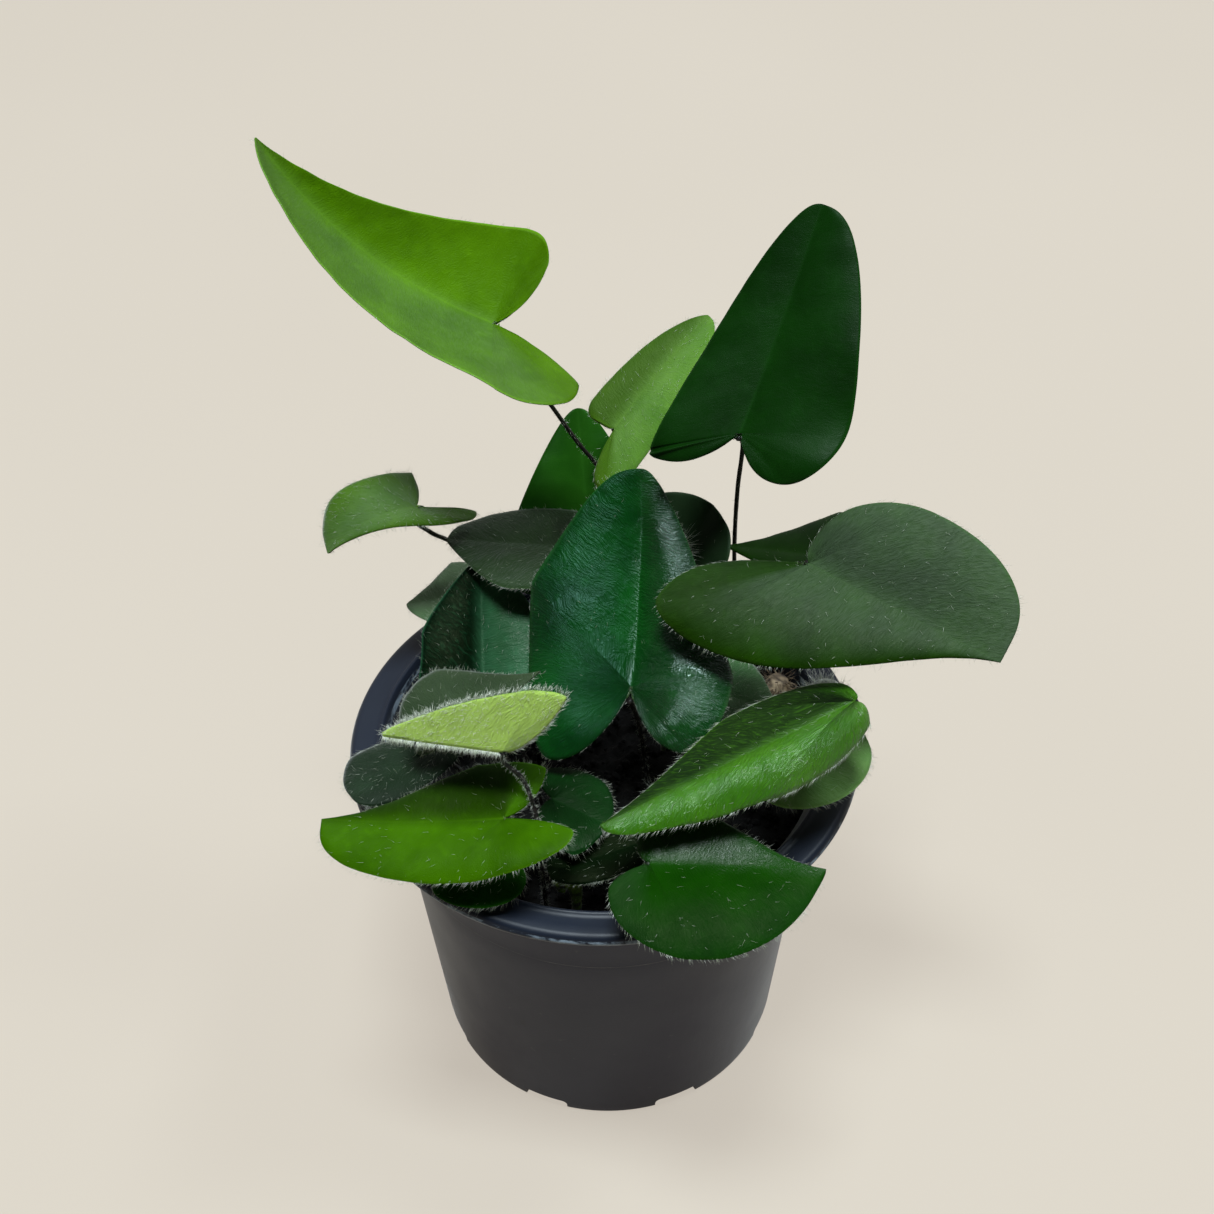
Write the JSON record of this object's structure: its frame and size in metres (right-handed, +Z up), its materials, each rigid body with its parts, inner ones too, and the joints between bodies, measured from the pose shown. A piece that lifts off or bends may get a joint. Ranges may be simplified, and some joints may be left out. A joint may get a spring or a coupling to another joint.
{
  "type": "potted heart fern",
  "caption": "Heart fern in its pot: heart-shaped leathery fronds on wiry black stalks rise from soil in a tapered nursery pot; a houseplant that stands on its flat base.",
  "frame": {"origin": "centre of the pot's flat base, on the surface that it stands on", "axes": "+Z up along the pot's axis; +Y away from the picture's camera, +X to the picture's right"},
  "size_m": [0.1375, 0.1168, 0.196],
  "materials": {
    "black_plastic": "satin charcoal nursery pot plastic",
    "potting_soil": "near-black crumbly potting soil",
    "rootstock_scales": "dull brown chaffy scales",
    "leaf_dark": "dark green, soft sheen, short silver hairs",
    "leaf_bright": "fresh yellow-green, soft sheen, silver hair fringe",
    "leaf_grey": "grey-green, densely haired",
    "leaf_young": "lime green, woolly with white hairs",
    "stalk_black": "wiry, near-black, pale bristles",
    "crozier_wool": "white woolly hairs over green"
  },
  "bodies": {
    "root": {"pot": "black_plastic", "soil": "potting_soil", "rootstock": "rootstock_scales", "blade_high_left": "leaf_bright", "stalk_high_left": "stalk_black", "blade_upright_young": "leaf_bright", "stalk_upright_young": "stalk_black", "blade_high_right": "leaf_dark", "stalk_high_right": "stalk_black", "blade_back_left": "leaf_dark", "stalk_back_left": "stalk_black", "blade_centre": "leaf_dark", "stalk_centre": "stalk_black", "blade_small_left": "leaf_bright", "stalk_small_left": "stalk_black", "blade_back_middle": "leaf_grey", "stalk_back_middle": "stalk_black", "blade_left_upright": "leaf_dark", "stalk_left_upright": "stalk_black", "blade_left_small": "leaf_grey", "stalk_left_small": "stalk_black", "blade_left_grey": "leaf_grey", "stalk_left_grey": "stalk_black", "blade_folded_young": "leaf_young", "stalk_folded_young": "stalk_black", "blade_left_rim": "leaf_dark", "stalk_left_rim": "stalk_black", "blade_front_left": "leaf_bright", "stalk_front_left": "stalk_black", "blade_front_left_rim": "leaf_dark", "stalk_front_left_rim": "stalk_black", "blade_front_inner": "leaf_dark", "stalk_front_inner": "stalk_black", "blade_front_centre": "leaf_dark", "stalk_front_centre": "stalk_black", "blade_right_long": "leaf_bright", "stalk_right_long": "stalk_black", "blade_right_under": "leaf_grey", "stalk_right_under": "stalk_black", "blade_front_right": "leaf_dark", "stalk_front_right": "stalk_black", "blade_right_wide": "leaf_grey", "stalk_right_wide": "stalk_black", "blade_right_back": "leaf_dark", "stalk_right_back": "stalk_black", "blade_back_right": "leaf_dark", "stalk_back_right": "stalk_black", "blade_inner_right": "leaf_grey", "stalk_inner_right": "stalk_black", "crozier_woolly": "crozier_wool", "crozier_inner": "crozier_wool", "crozier_front_green": "crozier_wool", "crozier_front_grey": "crozier_wool", "crozier_behind_centre": "crozier_wool"}
  },
  "joints": []
}
